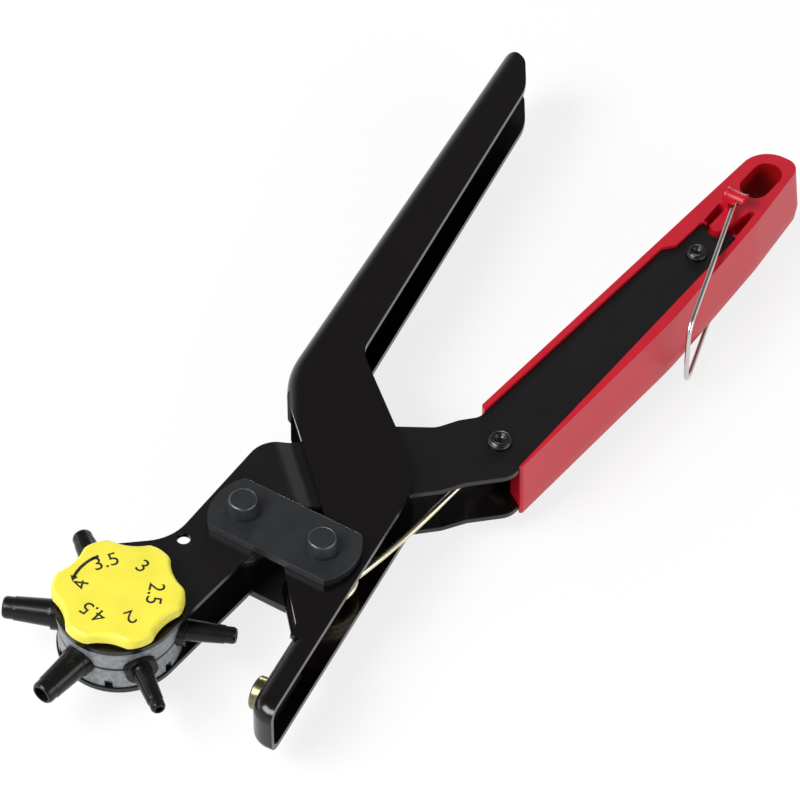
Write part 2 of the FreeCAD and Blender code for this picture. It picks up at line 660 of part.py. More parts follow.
def grip():
    """Moulded grip over both tangs, with its hanging slot and the hoods of the bail."""
    top = CHEEK_TOP + GRIP_RIM
    bottom = CHEEK_BACK - GRIP_RIM
    part_line = bottom + GRIP_PARTING
    rings = []
    for inset, height in ((GRIP_DRAFT / 2, bottom), (0, part_line), (GRIP_DRAFT, top)):
        ring = rounded(grip_ring(inset))
        ring.translate(Vector(0, 0, height))
        rings.append(ring)
    lower = Part.makeLoft(rings[:2], True, True)
    upper = Part.makeLoft(rings[1:], True, True)
    body = lower.fuse(upper)
    pocket_low = top - POCKET_DEPTH
    hood_base = MID + BAIL_HALF + BAIL_WIRE / 2 + HOOD_GAP
    front = [cheek_plan(CHEEK_IN, top + OVERRUN)]
    for shares in (POCKET_INNER_SHARES, POCKET_OUTER_SHARES):
        corners = [scaled((x, y, POCKET_CORNER_SHARE), POCKET, FORK) for x, y in shares]
        front.append(prism(corners, pocket_low, top + OVERRUN))
    wall = sector(BAIL, HOOD_RADIUS, HOOD_START, HOOD_SWEEP, top - OVERRUN, hood_base)
    wall = wall.cut(disc(BAIL, HOOD_INNER_RADIUS, top - OVERRUN, hood_base))
    roof = sector(BAIL, HOOD_RADIUS, HOOD_ROOF_START, HOOD_ROOF_SWEEP, hood_base, hood_base + HOOD_ROOF)
    rib_nose = disc(FORK, RIB_HALF, CHEEK_IN, top)
    for cut in front:
        body = body.cut(cut).cut(flip(cut))
    body = body.multiFuse([rib_nose, flip(rib_nose), wall, flip(wall), roof, flip(roof)])
    slot_centre = FORK + Vector(SLOT_AHEAD, -SLOT_DROP, 0)
    holes = [
        slot(slot_centre, SLOT_LENGTH, SLOT_WIDTH, SLOT_ANGLE, 0, top + OVERRUN),
        disc(RIVET_FRONT, EYE_ROOM_RADIUS, 0, top),
        disc(RIVET_REAR, HANDLE_SHANK_RADIUS, 0, top),
        disc(BAIL, BAIL_WIRE / 2 + RUN, top - BAIL_PIN - RUN, top),
        disc(BAIL, BAIL_WIRE / 2 + RUN, bottom, bottom + BAIL_PIN + RUN),
    ]
    for hole in holes:
        body = body.cut(hole)
    return body.removeSplitter().Solids[0]


def bail():
    """Closing bail, one wire with its two ends turned into the grip."""
    out = polar(BAIL_ANGLE, 1)
    up = Vector(0, 0, 1)
    pin = CHANNEL_WIDTH / 2 + GRIP_RIM - BAIL_PIN
    shoulder = BAIL_HALF - BAIL_BEND
    corner = BAIL_HALF - BAIL_CORNER
    steps = [
        (0, pin, up),
        (0, shoulder, up),
        (BAIL_BEND, BAIL_HALF, out),
        (BAIL_REACH - BAIL_CORNER, BAIL_HALF, out),
        (BAIL_REACH, corner, -up),
        (BAIL_REACH, -corner, -up),
        (BAIL_REACH - BAIL_CORNER, -BAIL_HALF, -out),
        (BAIL_BEND, -BAIL_HALF, -out),
        (0, -shoulder, up),
        (0, -pin, up),
    ]
    foot = BAIL + Vector(0, 0, MID)
    nodes = [(foot + out * along + up * height, way) for along, height, way in steps]
    return bent_wire(nodes, BAIL_WIRE / 2)[0]


# Heights of the turret
WHEEL_LOW = CHEEK_BACK_IN + WHEEL_GAP
WHEEL_TOP = CHEEK_IN - WHEEL_GAP
CHAMBER_LOW = WHEEL_LOW + CHAMBER_WALL
CHAMBER_TOP = WHEEL_TOP - CHAMBER_WALL
HUB_TOP = CHEEK_TOP + HUB_RISE
HUB_LOW = CHEEK_BACK - RUN
CAP_LOW = CHEEK_TOP + CAP_LIFT


def punch_tube(size, angle):
    """Round punch tube with its spigot, collar, tapered body and bevelled tip."""
    bore = size / 2
    collar_end = TUBE_COLLAR_SEAT + TUBE_COLLAR
    band_start = TUBE_TIP - TUBE_BAND
    profile = [
        (bore, CHAMBER_RADIUS),
        (TUBE_SPIGOT_RADIUS, CHAMBER_RADIUS),
        (TUBE_SPIGOT_RADIUS, TUBE_COLLAR_SEAT),
        (TUBE_COLLAR_RADIUS, TUBE_COLLAR_SEAT),
        (TUBE_COLLAR_RADIUS, collar_end),
        (bore + TUBE_ROOT_WALL, collar_end),
        (bore + TUBE_BAND_WALL, band_start),
        (bore + TUBE_BAND_WALL - TUBE_BAND_STEP, band_start),
        (bore + TUBE_BAND_WALL - TUBE_BAND_STEP, TUBE_TIP - TUBE_EDGE),
        (bore + TUBE_EDGE_WALL, TUBE_TIP),
        (bore, TUBE_TIP),
    ]
    return aimed(spun(profile), angle)


def aimed(shape, angle):
    """Turn an upright shape to point out of the turret at an angle."""
    turned = shape.copy()
    turned.rotate(Vector(), Vector(0, 1, 0), 90)
    turned.rotate(Vector(), Vector(0, 0, 1), angle)
    turned.translate(TURRET + Vector(0, 0, MID))
    return turned


def tube_angles():
    """Angle of every tube at rest, by its size."""
    step = 360 / len(TUBE_SIZES)
    return {size: TUBE_ANGLE - step * i for i, size in enumerate(TUBE_SIZES)}


def tube_seats():
    """Holes and spot faces for all the tubes."""
    room = disc(Vector(), TUBE_SPIGOT_RADIUS, 0, WHEEL_RADIUS)
    room = room.fuse(disc(Vector(), TUBE_COLLAR_RADIUS + SEAT, TUBE_COLLAR_SEAT, WHEEL_RADIUS + OVERRUN))
    return Part.makeCompound([aimed(room, angle) for angle in tube_angles().values()])


def screw_places():
    """Axes of the screws that hold the turret halves."""
    return [TURRET + polar(SCREW_ANGLE + 360 / SCREW_COUNT * i, SCREW_CIRCLE) for i in range(SCREW_COUNT)]


def screws():
    """Screws through the turret halves, sunk in the back one."""
    bodies = []
    for place in screw_places():
        head = disc(place, SCREW_HEAD_RADIUS, WHEEL_LOW, WHEEL_LOW + SCREW_HEAD)
        bodies.append(head.fuse(disc(place, SCREW_RADIUS, WHEEL_LOW + SCREW_HEAD, WHEEL_LOW + SCREW_LENGTH)))
    return bodies


def turret_half_front():
    """Front half of the turret, with the hub that carries the cap."""
    profile = [
        (HUB_BORE_RADIUS, CHAMBER_TOP),
        (HUB_BORE_RADIUS, HUB_TOP),
        (HUB_RADIUS, HUB_TOP),
        (HUB_RADIUS, WHEEL_TOP),
        (WHEEL_RADIUS, WHEEL_TOP),
        (WHEEL_RADIUS, WHEEL_TOP - WHEEL_RIM),
        (WHEEL_WAIST_RADIUS, MID),
        (CHAMBER_RADIUS, MID),
        (CHAMBER_RADIUS, CHAMBER_TOP),
    ]
    body = spun(profile, TURRET)
    step = 360 / LUG_COUNT
    for i in range(LUG_COUNT):
        start = TUBE_ANGLE - LUG_SPAN / 2 + step * i
        lug = sector(TURRET, LUG_RADIUS, start, LUG_SPAN, HUB_TOP - LUG, HUB_TOP)
        body = body.fuse(lug.cut(disc(TURRET, HUB_BORE_RADIUS, HUB_TOP - LUG, HUB_TOP)))
    return body.cut(tube_seats()).cut(Part.makeCompound(screws())).removeSplitter().Solids[0]


def turret_half_back():
    """Back half of the turret, with its floor, back hub and detent notches."""
    profile = [
        (AXLE_RADIUS, HUB_LOW),
        (BACK_HUB_RADIUS, HUB_LOW),
        (BACK_HUB_RADIUS, WHEEL_LOW),
        (WHEEL_RADIUS, WHEEL_LOW),
        (WHEEL_RADIUS, WHEEL_LOW + WHEEL_RIM),
        (WHEEL_WAIST_RADIUS, MID),
        (CHAMBER_RADIUS, MID),
        (CHAMBER_RADIUS, CHAMBER_LOW),
        (AXLE_RADIUS, CHAMBER_LOW),
    ]
    body = spun(profile, TURRET)
    step = 360 / len(TUBE_SIZES)
    for angle in tube_angles().values():
        start = TURRET + polar(angle + step / 2, WHEEL_RADIUS - NOTCH_DEPTH)
        corners = [
            at(start, angle + step / 2, 0, NOTCH_WIDTH / 2),
            at(start, angle + step / 2, 0, -NOTCH_WIDTH / 2),
            at(start, angle + step / 2, NOTCH_DEPTH + OVERRUN, -NOTCH_WIDTH / 2),
            at(start, angle + step / 2, NOTCH_DEPTH + OVERRUN, NOTCH_WIDTH / 2),
        ]
        body = body.cut(prism(corners, WHEEL_LOW, WHEEL_LOW + NOTCH_HEIGHT))
    return body.cut(tube_seats()).cut(Part.makeCompound(screws())).removeSplitter().Solids[0]


def turret_axle():
    """Axle riveted through the floor of the turret."""
    head_top = HUB_LOW - WASHER
    head = [(r * AXLE_HEAD_RADIUS, head_top - h * AXLE_HEAD) for r, h in AXLE_HEAD_SHARES]
    shank = [(AXLE_RADIUS, head_top), (AXLE_RADIUS, CHAMBER_LOW), (AXLE_BOSS_RADIUS, CHAMBER_LOW)]
    boss = [(AXLE_BOSS_RADIUS, CHAMBER_LOW + AXLE_FLANGE), (0, CHAMBER_LOW + AXLE_FLANGE)]
    return spun(head + shank + boss, TURRET)


def waste_cap():
    """Lobed waste cap that hooks under the lugs of the hub."""
    edges = []
    step = 360 / len(TUBE_SIZES)
    for angle in tube_angles().values():
        a, b, c, d, e = (
            TURRET + polar(angle + turn, radius)
            for turn, radius in (
                (CAP_LOBE, CAP_SHOULDER_RADIUS),
                (0, CAP_RADIUS),
                (-CAP_LOBE, CAP_SHOULDER_RADIUS),
                (-step / 2, CAP_SCALLOP_RADIUS),
                (CAP_LOBE - step, CAP_SHOULDER_RADIUS),
            )
        )
        edges += [Part.Arc(a, b, c).toShape(), Part.Arc(c, d, e).toShape()]
    face = Part.Face(Part.Wire(edges))
    face.translate(Vector(0, 0, CAP_LOW))
    body = face.extrude(Vector(0, 0, CAP_TOP - CAP_LOW))
    upright = [e for e in body.Edges if abs(e.tangentAt(e.FirstParameter).z) > RIM_CHECK_SHARE]
    body = body.makeFillet(CAP_CORNER, upright)
    rims = [e for e in body.Edges if e.BoundBox.ZMin > CAP_TOP - CAP_EDGE]
    body = body.makeFillet(CAP_EDGE, rims)
    lug_under = HUB_TOP - LUG - FLANGE_GAP
    body = body.cut(disc(TURRET, CAP_BORE_RADIUS, lug_under, CAP_TOP - CAP_ROOF))
    body = body.cut(disc(TURRET, HUB_RADIUS + HUB_CLEARANCE, CAP_LOW, CAP_TOP - CAP_ROOF))
    for i in range(LUG_COUNT):
        start = TUBE_ANGLE - LUG_GAP_SPAN / 2 - CAP_UNLOCK + 360 / LUG_COUNT * i
        body = body.cut(sector(TURRET, CAP_BORE_RADIUS, start, LUG_GAP_SPAN, CAP_LOW, CAP_TOP - CAP_ROOF))
    return body.Solids[0]


def opening_spring():
    """Opening spring wound round the pivot sleeve, hooked on the front grip rivet."""
    wall_gap = SHEET + SPRING_WEB_GAP + SPRING_WIRE / 2
    rest = at(ELBOW_POINT, HANDLE_ANGLE, SPRING_REST, -wall_gap)
    rest = Vector(rest[0], rest[1], 0)
    heading = math.degrees(math.atan2(rest.y, rest.x) - math.asin(SPRING_RADIUS / rest.Length))
    start = heading + 90
    turns = SPRING_TURNS + (SPRING_LEG_ANGLE - 90 - start) / 360 + 1
    rise = SPRING_PITCH * turns
    slope = SPRING_PITCH / (2 * math.pi * SPRING_RADIUS)
    foot = MID - rise / 2
    back = polar(heading + 180, 1)
    up = Vector(0, 0, 1)
    nodes = [
        (rest + polar(HANDLE_ANGLE, SPRING_FOOT + SPRING_BEND) + up * foot, polar(HANDLE_ANGLE + 180, 1)),
        (rest + polar(HANDLE_ANGLE, SPRING_BEND) + up * foot, polar(HANDLE_ANGLE + 180, 1)),
        (rest + back * SPRING_BEND + up * foot, back),
        (polar(start, SPRING_RADIUS) - back * SPRING_LEAD + up * foot, back),
    ]
    count = int(360 * turns / ARC_SPAN)
    for i in range(count + 1):
        angle = start + 360 * turns * i / count
        way = (polar(angle + 90, 1) + up * slope).normalize()
        nodes.append((polar(angle, SPRING_RADIUS) + up * (foot + rise * i / count), way))
    eye = HANDLE_SHANK_RADIUS + SPRING_EYE_GAP + SPRING_WIRE / 2
    knee = polar(SPRING_KNEE_ANGLE, SPRING_KNEE)
    span = RIVET_FRONT - knee
    lead = math.degrees(math.atan2(span.y, span.x) + math.asin(eye / span.Length))
    nodes.append((knee + up * MID, polar(lead, 1)))
    hook = int(SPRING_EYE_SWEEP / ARC_SPAN)
    for i in range(hook + 1):
        angle = lead + 90 - SPRING_EYE_SWEEP * i / hook
        height = up * (MID - SPRING_EYE_DROP * i / hook)
        nodes.append((RIVET_FRONT + polar(angle, eye) + height, polar(angle - 90, 1)))
    return bent_wire(nodes, SPRING_WIRE / 2)


def least_gap(spine, radius):
    """Smallest gap of a wire to itself, from points along it."""
    points = spine.discretize(Distance=radius / 2)
    apart = int(math.pi * radius / (radius / 2)) + 2
    least = ENDLESS
    for i, point in enumerate(points):
        for other in points[i + apart:]:
            least = min(least, point.distanceToPoint(other))
    return least - 2 * radius


STRAP_BACK = CHEEK_BACK - STRAP
SPRING, SPRING_SPINE = opening_spring()
print("spring gap", round(least_gap(SPRING_SPINE, SPRING_WIRE / 2), 3))
HEAD = (HEAD_RADIUS, HEAD_HEIGHT - RUN, HEAD_SHARES)
NODES = {
    "frame_channel": frame_channel(),
    "anvil": anvil(),
    "pivot_sleeve": tube(Vector(), SHANK_RADIUS, SLEEVE_RADIUS, 2 * MID - FRAME_UNDER, FRAME_UNDER),
    "pivot_rivet": rivet(Vector(), SHANK_RADIUS, STRAP_BACK - RUN, STRAP_TOP + RUN, *HEAD),
    "jaw_cheek_front": jaw_cheek(HUB_RADIUS + RUN, CHEEK_IN),
    "jaw_cheek_back": jaw_cheek(BACK_HUB_RADIUS + RUN, CHEEK_BACK),
    "link_strap_front": strap(CHEEK_TOP),
    "link_strap_back": strap(STRAP_BACK),
    "strap_rivet": rivet(LINK, SHANK_RADIUS, STRAP_BACK, STRAP_TOP, HEAD_RADIUS, HEAD_HEIGHT, HEAD_SHARES),
    "strap_spacer": tube(LINK, SHANK_RADIUS, SLEEVE_RADIUS, CHEEK_BACK_IN, CHEEK_IN),
    "detent_spring": detent_spring(),
    "grip": grip(),
    "bail": bail(),
    "turret_half_front": turret_half_front(),
    "turret_half_back": turret_half_back(),
    "turret_axle": turret_axle(),
    "turret_washer": tube(TURRET, AXLE_RADIUS, WASHER_RADIUS, HUB_LOW - WASHER, HUB_LOW),
    "turret_screws": Part.makeCompound(screws()),
    "waste_cap": waste_cap(),
    "opening_spring": SPRING,
}
for name, place, radius in (("front", RIVET_FRONT, RIVET_FRONT_HEAD), ("rear", RIVET_REAR, RIVET_REAR_HEAD)):
    NODES["handle_rivet_" + name] = rivet(
        place, HANDLE_SHANK_RADIUS, CHEEK_BACK, CHEEK_TOP, radius, HANDLE_HEAD, HANDLE_HEAD_SHARES
    )
for size, angle in tube_angles().items():
    NODES["punch_tube_" + str(size).replace(".", "_")] = punch_tube(size, angle)

os.makedirs("parts", exist_ok=True)
for name, shape in NODES.items():
    print(name, shape.isValid(), len(shape.Solids), round(shape.Volume, 1))
    shape.exportStep("parts/" + name + ".step")
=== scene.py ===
import math
import bpy
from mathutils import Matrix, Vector


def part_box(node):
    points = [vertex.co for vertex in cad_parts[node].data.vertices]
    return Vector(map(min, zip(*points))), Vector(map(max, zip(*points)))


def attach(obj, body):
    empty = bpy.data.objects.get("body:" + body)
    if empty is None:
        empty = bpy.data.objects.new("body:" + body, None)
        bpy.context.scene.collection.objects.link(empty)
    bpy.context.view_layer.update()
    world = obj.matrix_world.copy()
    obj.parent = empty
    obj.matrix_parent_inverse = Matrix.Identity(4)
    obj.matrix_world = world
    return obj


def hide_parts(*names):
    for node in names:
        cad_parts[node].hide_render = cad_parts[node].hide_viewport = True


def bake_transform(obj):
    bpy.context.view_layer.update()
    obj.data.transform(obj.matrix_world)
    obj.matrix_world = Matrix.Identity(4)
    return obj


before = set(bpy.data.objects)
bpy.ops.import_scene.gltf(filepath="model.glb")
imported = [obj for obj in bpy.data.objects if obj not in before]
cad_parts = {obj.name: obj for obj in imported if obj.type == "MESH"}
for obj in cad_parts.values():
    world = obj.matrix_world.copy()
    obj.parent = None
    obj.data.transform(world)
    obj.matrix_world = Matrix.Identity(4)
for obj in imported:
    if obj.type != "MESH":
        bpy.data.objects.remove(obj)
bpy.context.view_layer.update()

# Camera. It looks down on the pliers from the jaw side, through a long lens, and the
# sensor is as wide as the picture.
MM = 0.001
CAMERA_PLACE = Vector((-762.6, -500.4, 1152.6)) * MM
CAMERA_TARGET = Vector((63.54, 15.89, 12.0)) * MM
CAMERA_SENSOR = 36.0
CAMERA_FOCAL_PIXELS = 5580.0
CAMERA_NEAR = 0.05
CAMERA_FAR = 20.0
PICTURE_PIXELS = 800.0

bpy.ops.object.select_all(action="DESELECT")
bpy.ops.object.camera_add(location=CAMERA_PLACE)
camera = bpy.context.active_object
camera.name = "camera"
camera.rotation_mode = "QUATERNION"
camera.rotation_quaternion = (CAMERA_TARGET - CAMERA_PLACE).to_track_quat("-Z", "Y")
camera.data.sensor_width = CAMERA_SENSOR
camera.data.lens = CAMERA_SENSOR * CAMERA_FOCAL_PIXELS / PICTURE_PIXELS
camera.data.clip_start = CAMERA_NEAR
camera.data.clip_end = CAMERA_FAR
bpy.context.scene.camera = camera
bpy.context.scene.view_settings.view_transform = "Standard"

# Floor. A white sweep under the tool that stays white for the camera and in reflections,
# and still takes the soft shadow of the tool.
FLOOR_SIZE = 6.0
FLOOR_PLACE = (0.06, 0.01, -0.0004)
FLOOR_COLOUR = (0.86, 0.86, 0.86, 1.0)
FLOOR_GLOW_SHARE = 0.8

bpy.ops.mesh.primitive_plane_add(size=FLOOR_SIZE, location=FLOOR_PLACE)
floor = bpy.context.active_object
floor.name = "floor"
floor_paint = bpy.data.materials.new("floor white")
floor_paint.use_nodes = True
nodes = floor_paint.node_tree.nodes
links = floor_paint.node_tree.links
nodes.remove(nodes["Principled BSDF"])
diffuse = nodes.new("ShaderNodeBsdfDiffuse")
diffuse.inputs["Color"].default_value = FLOOR_COLOUR
glow = nodes.new("ShaderNodeEmission")
path = nodes.new("ShaderNodeLightPath")
either = nodes.new("ShaderNodeMath")
either.operation = "MAXIMUM"
links.new(path.outputs["Is Camera Ray"], either.inputs[0])
links.new(path.outputs["Is Glossy Ray"], either.inputs[1])
share = nodes.new("ShaderNodeMath")
share.operation = "MULTIPLY"
share.inputs[1].default_value = FLOOR_GLOW_SHARE
links.new(either.outputs[0], share.inputs[0])
blend = nodes.new("ShaderNodeMixShader")
links.new(share.outputs[0], blend.inputs["Fac"])
links.new(diffuse.outputs[0], blend.inputs[1])
links.new(glow.outputs[0], blend.inputs[2])
links.new(blend.outputs[0], nodes["Material Output"].inputs["Surface"])
floor.data.materials.append(floor_paint)

# Studio. A surround that is dim overhead and bright towards the horizon, which draws the
# soft highlights along the folds of the black coat, with two wide soft boxes and two low
# strips behind the tool for its bends and cut edges.
WORLD_LOW = 0.95
WORLD_HIGH = 0.17
WORLD_FADE = 0.62

world = bpy.data.worlds.new("studio")
bpy.context.scene.world = world
world.use_nodes = True
nodes = world.node_tree.nodes
links = world.node_tree.links
heading = nodes.new("ShaderNodeTexCoord")
parts = nodes.new("ShaderNodeSeparateXYZ")
fade = nodes.new("ShaderNodeMapRange")
fade.inputs["From Max"].default_value = WORLD_FADE
fade.inputs["To Min"].default_value = WORLD_LOW
fade.inputs["To Max"].default_value = WORLD_HIGH
links.new(heading.outputs["Generated"], parts.inputs["Vector"])
links.new(parts.outputs["Z"], fade.inputs["Value"])
links.new(fade.outputs["Result"], nodes["Background"].inputs["Color"])
nodes["Background"].inputs["Strength"].default_value = 1.0


def soft_box(name, place, target, width, height, watts):
    """Rectangular lamp that faces a point."""
    place = Vector(place)
    bpy.ops.object.light_add(type="AREA", location=place)
    lamp = bpy.context.active_object
    lamp.name = name
    lamp.rotation_mode = "QUATERNION"
    lamp.rotation_quaternion = (Vector(target) - place).to_track_quat("-Z", "Y")
    lamp.data.shape = "RECTANGLE"
    lamp.data.size = width
    lamp.data.size_y = height
    lamp.data.energy = watts


soft_box(
    "key box", place=(-0.75, 0.55, 1.05), target=(0.05, 0.0, 0.01),
    width=0.9, height=0.7, watts=24.0)
soft_box(
    "front box", place=(0.1, -1.1, 0.45), target=(0.07, 0.0, 0.01),
    width=1.2, height=0.5, watts=6.0)
soft_box(
    "rear strip", place=(1.15, 0.43, 0.34), target=(0.0, 0.0, 0.02),
    width=0.34, height=0.13, watts=2.6)
soft_box(
    "back strip", place=(-0.26, 1.22, 0.3), target=(0.03, 0.0, 0.02),
    width=0.8, height=0.1, watts=1.2)

# Frame lever. One steel sheet, cut out, folded into a channel along the handle and the jaw,
# and coated glossy black. Its rounded edges take a lighter copy of the coat, a painted
# highlight.
COAT_BLACK = (0.0026, 0.0014, 0.0019)
COAT_EDGE_HIGHLIGHT = (0.024, 0.0235, 0.025)
COAT_SPECULAR = 0.4
CLOUD_DETAIL = 6.0
GRAIN_DETAIL = 3.0
RELIEF_STRENGTH = 0.5
WELD_DISTANCE = 0.002 * MM
FACET_LIMIT = math.radians(0.4)
EDGE_LIMIT = math.radians(32)


def finish_material(
        name, colour, rough, metallic=0.0, mottle=(120.0, 0.12), bump=(900.0, 0.05),
        specular=0.5, coat=0.0):
    """Principled surface with noise on the object itself in its colour, gloss and relief.

    mottle is a scale and a share of the colour, rough goes from one value to another, and
    bump is a scale and a depth in mm.
    """
    material = bpy.data.materials.new(name)
    material.use_nodes = True
    nodes = material.node_tree.nodes
    links = material.node_tree.links
    shader = nodes["Principled BSDF"]
    shader.inputs["Metallic"].default_value = metallic
    shader.inputs["Specular IOR Level"].default_value = specular
    shader.inputs["Coat Weight"].default_value = coat
    place = nodes.new("ShaderNodeTexCoord")
    scale, spread = mottle
    cloud = nodes.new("ShaderNodeTexNoise")
    cloud.inputs["Scale"].default_value = scale
    cloud.inputs["Detail"].default_value = CLOUD_DETAIL
    links.new(place.outputs["Object"], cloud.inputs["Vector"])
    tint = nodes.new("ShaderNodeMix")
    tint.data_type = "RGBA"
    tint.inputs["A"].default_value = [c * (1 - spread) for c in colour] + [1.0]
    tint.inputs["B"].default_value = [min(1.0, c * (1 + spread)) for c in colour] + [1.0]
    links.new(cloud.outputs["Fac"], tint.inputs["Factor"])
    links.new(tint.outputs["Result"], shader.inputs["Base Color"])
    gloss = nodes.new("ShaderNodeMapRange")
    gloss.inputs["To Min"].default_value = rough[0]
    gloss.inputs["To Max"].default_value = rough[1]
    links.new(cloud.outputs["Fac"], gloss.inputs["Value"])
    links.new(gloss.outputs["Result"], shader.inputs["Roughness"])
    grain_scale, depth = bump
    grain = nodes.new("ShaderNodeTexNoise")
    grain.inputs["Scale"].default_value = grain_scale
    grain.inputs["Detail"].default_value = GRAIN_DETAIL
    links.new(place.outputs["Object"], grain.inputs["Vector"])
    relief = nodes.new("ShaderNodeBump")
    relief.inputs["Strength"].default_value = RELIEF_STRENGTH
    relief.inputs["Distance"].default_value = depth * MM
    links.new(grain.outputs["Fac"], relief.inputs["Height"])
    links.new(relief.outputs["Normal"], shader.inputs["Normal"])
    return material


def open_copy(node, *materials):
    """Piece with a node's own form and its seams welded, still open in edit mode."""
    bpy.ops.object.select_all(action="DESELECT")
    piece = bpy.data.objects.new(node + "_finish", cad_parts[node].data.copy())
    bpy.context.scene.collection.objects.link(piece)
    piece.select_set(True)
    bpy.context.view_layer.objects.active = piece
    piece.data.materials.clear()
    for material in materials:
        piece.data.materials.append(material)
    bpy.ops.object.mode_set(mode="EDIT")
    bpy.ops.mesh.select_all(action="SELECT")
    bpy.ops.mesh.remove_doubles(threshold=WELD_DISTANCE)
    return piece


def round_edges(piece, width, segments, material=-1):
    """Round over the sharp edges of the active piece and smooth it between them."""
    bevel = piece.modifiers.new("rounded edges", "BEVEL")
    bevel.width = width
    bevel.segments = segments
    bevel.limit_method = "ANGLE"
    bevel.angle_limit = EDGE_LIMIT
    bevel.material = material
    bpy.ops.object.modifier_apply(modifier=bevel.name)
    bpy.ops.object.shade_smooth_by_angle(angle=EDGE_LIMIT)


def dressed(node, body, faces, edges, round_over, segments=2):
    """Piece with a node's own form, its facets merged and its sharp edges rounded over."""
    piece = open_copy(node, faces, edges)
    bpy.ops.mesh.dissolve_limited(angle_limit=FACET_LIMIT)
    bpy.ops.mesh.normals_make_consistent(inside=False)
    bpy.ops.object.mode_set(mode="OBJECT")
    for polygon in piece.data.polygons:
        polygon.material_index = 0
    # The rounded-over faces take the second finish, which paints a highlight where it is
    # lighter than the first and shade where it is darker.
    round_edges(piece, round_over, segments, material=1)
    flat = piece.modifiers.new("flat faces", "WEIGHTED_NORMAL")
    flat.keep_sharp = True
    bpy.ops.object.modifier_apply(modifier=flat.name)
    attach(piece, body)
    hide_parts(node)
    return piece


black_coat = finish_material(
    "glossy black coat", COAT_BLACK, rough=(0.16, 0.24), bump=(700.0, 0.01),
    specular=COAT_SPECULAR, coat=0.15)
black_edge_highlight = finish_material(
    "painted highlight on coat edge", COAT_EDGE_HIGHLIGHT, rough=(0.2, 0.3), metallic=0.6, bump=(900.0, 0.01))
dressed("frame_channel", "frame", black_coat, black_edge_highlight, round_over=0.24 * MM)

# Anvil. A turned brass disc on a shank that is riveted over inside the jaw.
BRASS = (0.21, 0.2, 0.1)
BRASS_EDGE_HIGHLIGHT = (0.27, 0.25, 0.14)

brass = finish_material(
    "turned brass", BRASS, rough=(0.22, 0.34), metallic=1.0, mottle=(260.0, 0.15))
# The brass edge finish is a lighter copy of the brass, a painted highlight on the rounded
# edges.
brass_edge_highlight = finish_material("brass edge painted highlight", BRASS_EDGE_HIGHLIGHT, rough=(0.18, 0.26), metallic=1.0)
dressed("anvil", "frame", brass, brass_edge_highlight, round_over=0.2 * MM)

# Jaw cheeks. Two pressed steel plates with the same joggles, coated semi-gloss black.
CHEEK_BLACK = (0.0036, 0.0024, 0.0028)

cheek_coat = finish_material(
    "semi-gloss black coat", CHEEK_BLACK, rough=(0.24, 0.32), bump=(800.0, 0.006))
# Their rounded edges take the lighter coat edge finish, a painted highlight.
for node in ("jaw_cheek_front", "jaw_cheek_back"):
    dressed(node, "jaw", cheek_coat, black_edge_highlight, round_over=0.25 * MM)

# Link straps and main rivets. Thick steel, tumbled and blued to a dark grey satin, with
# rounded edges painted a lighter grey, a painted highlight.
BLUED = (0.047, 0.05, 0.055)
BLUED_EDGE_HIGHLIGHT = (0.09, 0.095, 0.1)

blued_steel = finish_material(
    "blued steel", BLUED, rough=(0.34, 0.46), metallic=0.75, mottle=(200.0, 0.18),
    bump=(1400.0, 0.03))
blued_edge_highlight = finish_material(
    "blued edge painted highlight", BLUED_EDGE_HIGHLIGHT, rough=(0.26, 0.36), metallic=0.9, bump=(900.0, 0.01))
for node in ("link_strap_front", "link_strap_back"):
    dressed(node, "jaw", blued_steel, blued_edge_highlight, round_over=0.3 * MM)
dressed("strap_rivet", "jaw", blued_steel, blued_edge_highlight, round_over=0.22 * MM)
dressed("pivot_rivet", "frame", blued_steel, blued_edge_highlight, round_over=0.22 * MM)

# Inner hardware. Plain turned steel that lies between the plates, with the blued axle of
# the turret and its plain screws.
STEEL = (0.42, 0.42, 0.43)
STEEL_EDGE_HIGHLIGHT = (0.6, 0.6, 0.61)
PLAIN_PIECES = (
    ("pivot_sleeve", "frame"), ("strap_spacer", "jaw"), ("detent_spring", "jaw"),
    ("turret_washer", "turret"))

plain_steel = finish_material("plain turned steel", STEEL, rough=(0.3, 0.42), metallic=1.0)
# The plain steel edge finish is a lighter copy of the steel, a painted highlight on the
# rounded edges.
steel_edge_highlight = finish_material("plain steel edge painted highlight", STEEL_EDGE_HIGHLIGHT, rough=(0.25, 0.3), metallic=1.0)
for node, body in PLAIN_PIECES:
    dressed(node, body, plain_steel, steel_edge_highlight, round_over=0.1 * MM)
dressed("turret_axle", "turret", blued_steel, blued_edge_highlight, round_over=0.15 * MM)
dressed("turret_screws", "turret", plain_steel, steel_edge_highlight, round_over=0.1 * MM)

# Grip. Red moulded plastic over both tangs, glossy on the rim and a little matt on its walls.
# Its rounded edges are painted a lighter red, a painted highlight.
GRIP_RED = (0.47, 0.006, 0.019)
GRIP_EDGE_HIGHLIGHT_RED = (0.54, 0.008, 0.022)
GRIP_SPECULAR = 0.38
MOULDED_GRAIN = (1500.0, 0.02)

grip_red = finish_material(
    "red moulding", GRIP_RED, rough=(0.3, 0.4), bump=MOULDED_GRAIN, specular=GRIP_SPECULAR)
grip_edge_highlight = finish_material(
    "red moulding edge painted highlight", GRIP_EDGE_HIGHLIGHT_RED, rough=(0.22, 0.3), bump=MOULDED_GRAIN)
grip = dressed(
    "grip", "jaw", grip_red, grip_edge_highlight, round_over=0.45 * MM, segments=3)

# Inside of the hanging slot. The mould left it matt, and it is painted darker, painted shade.
# Its walls are the upright faces in a box round the slot that face the middle of the box.
SLOT_SHADE_RED = (0.3, 0.002, 0.005)
SLOT_SPECULAR = 0.08
SLOT_LOW = Vector((166.0, -37.0, 3.0)) * MM
SLOT_HIGH = Vector((182.6, -27.0, 24.3)) * MM
WALL_LIMIT = 0.5

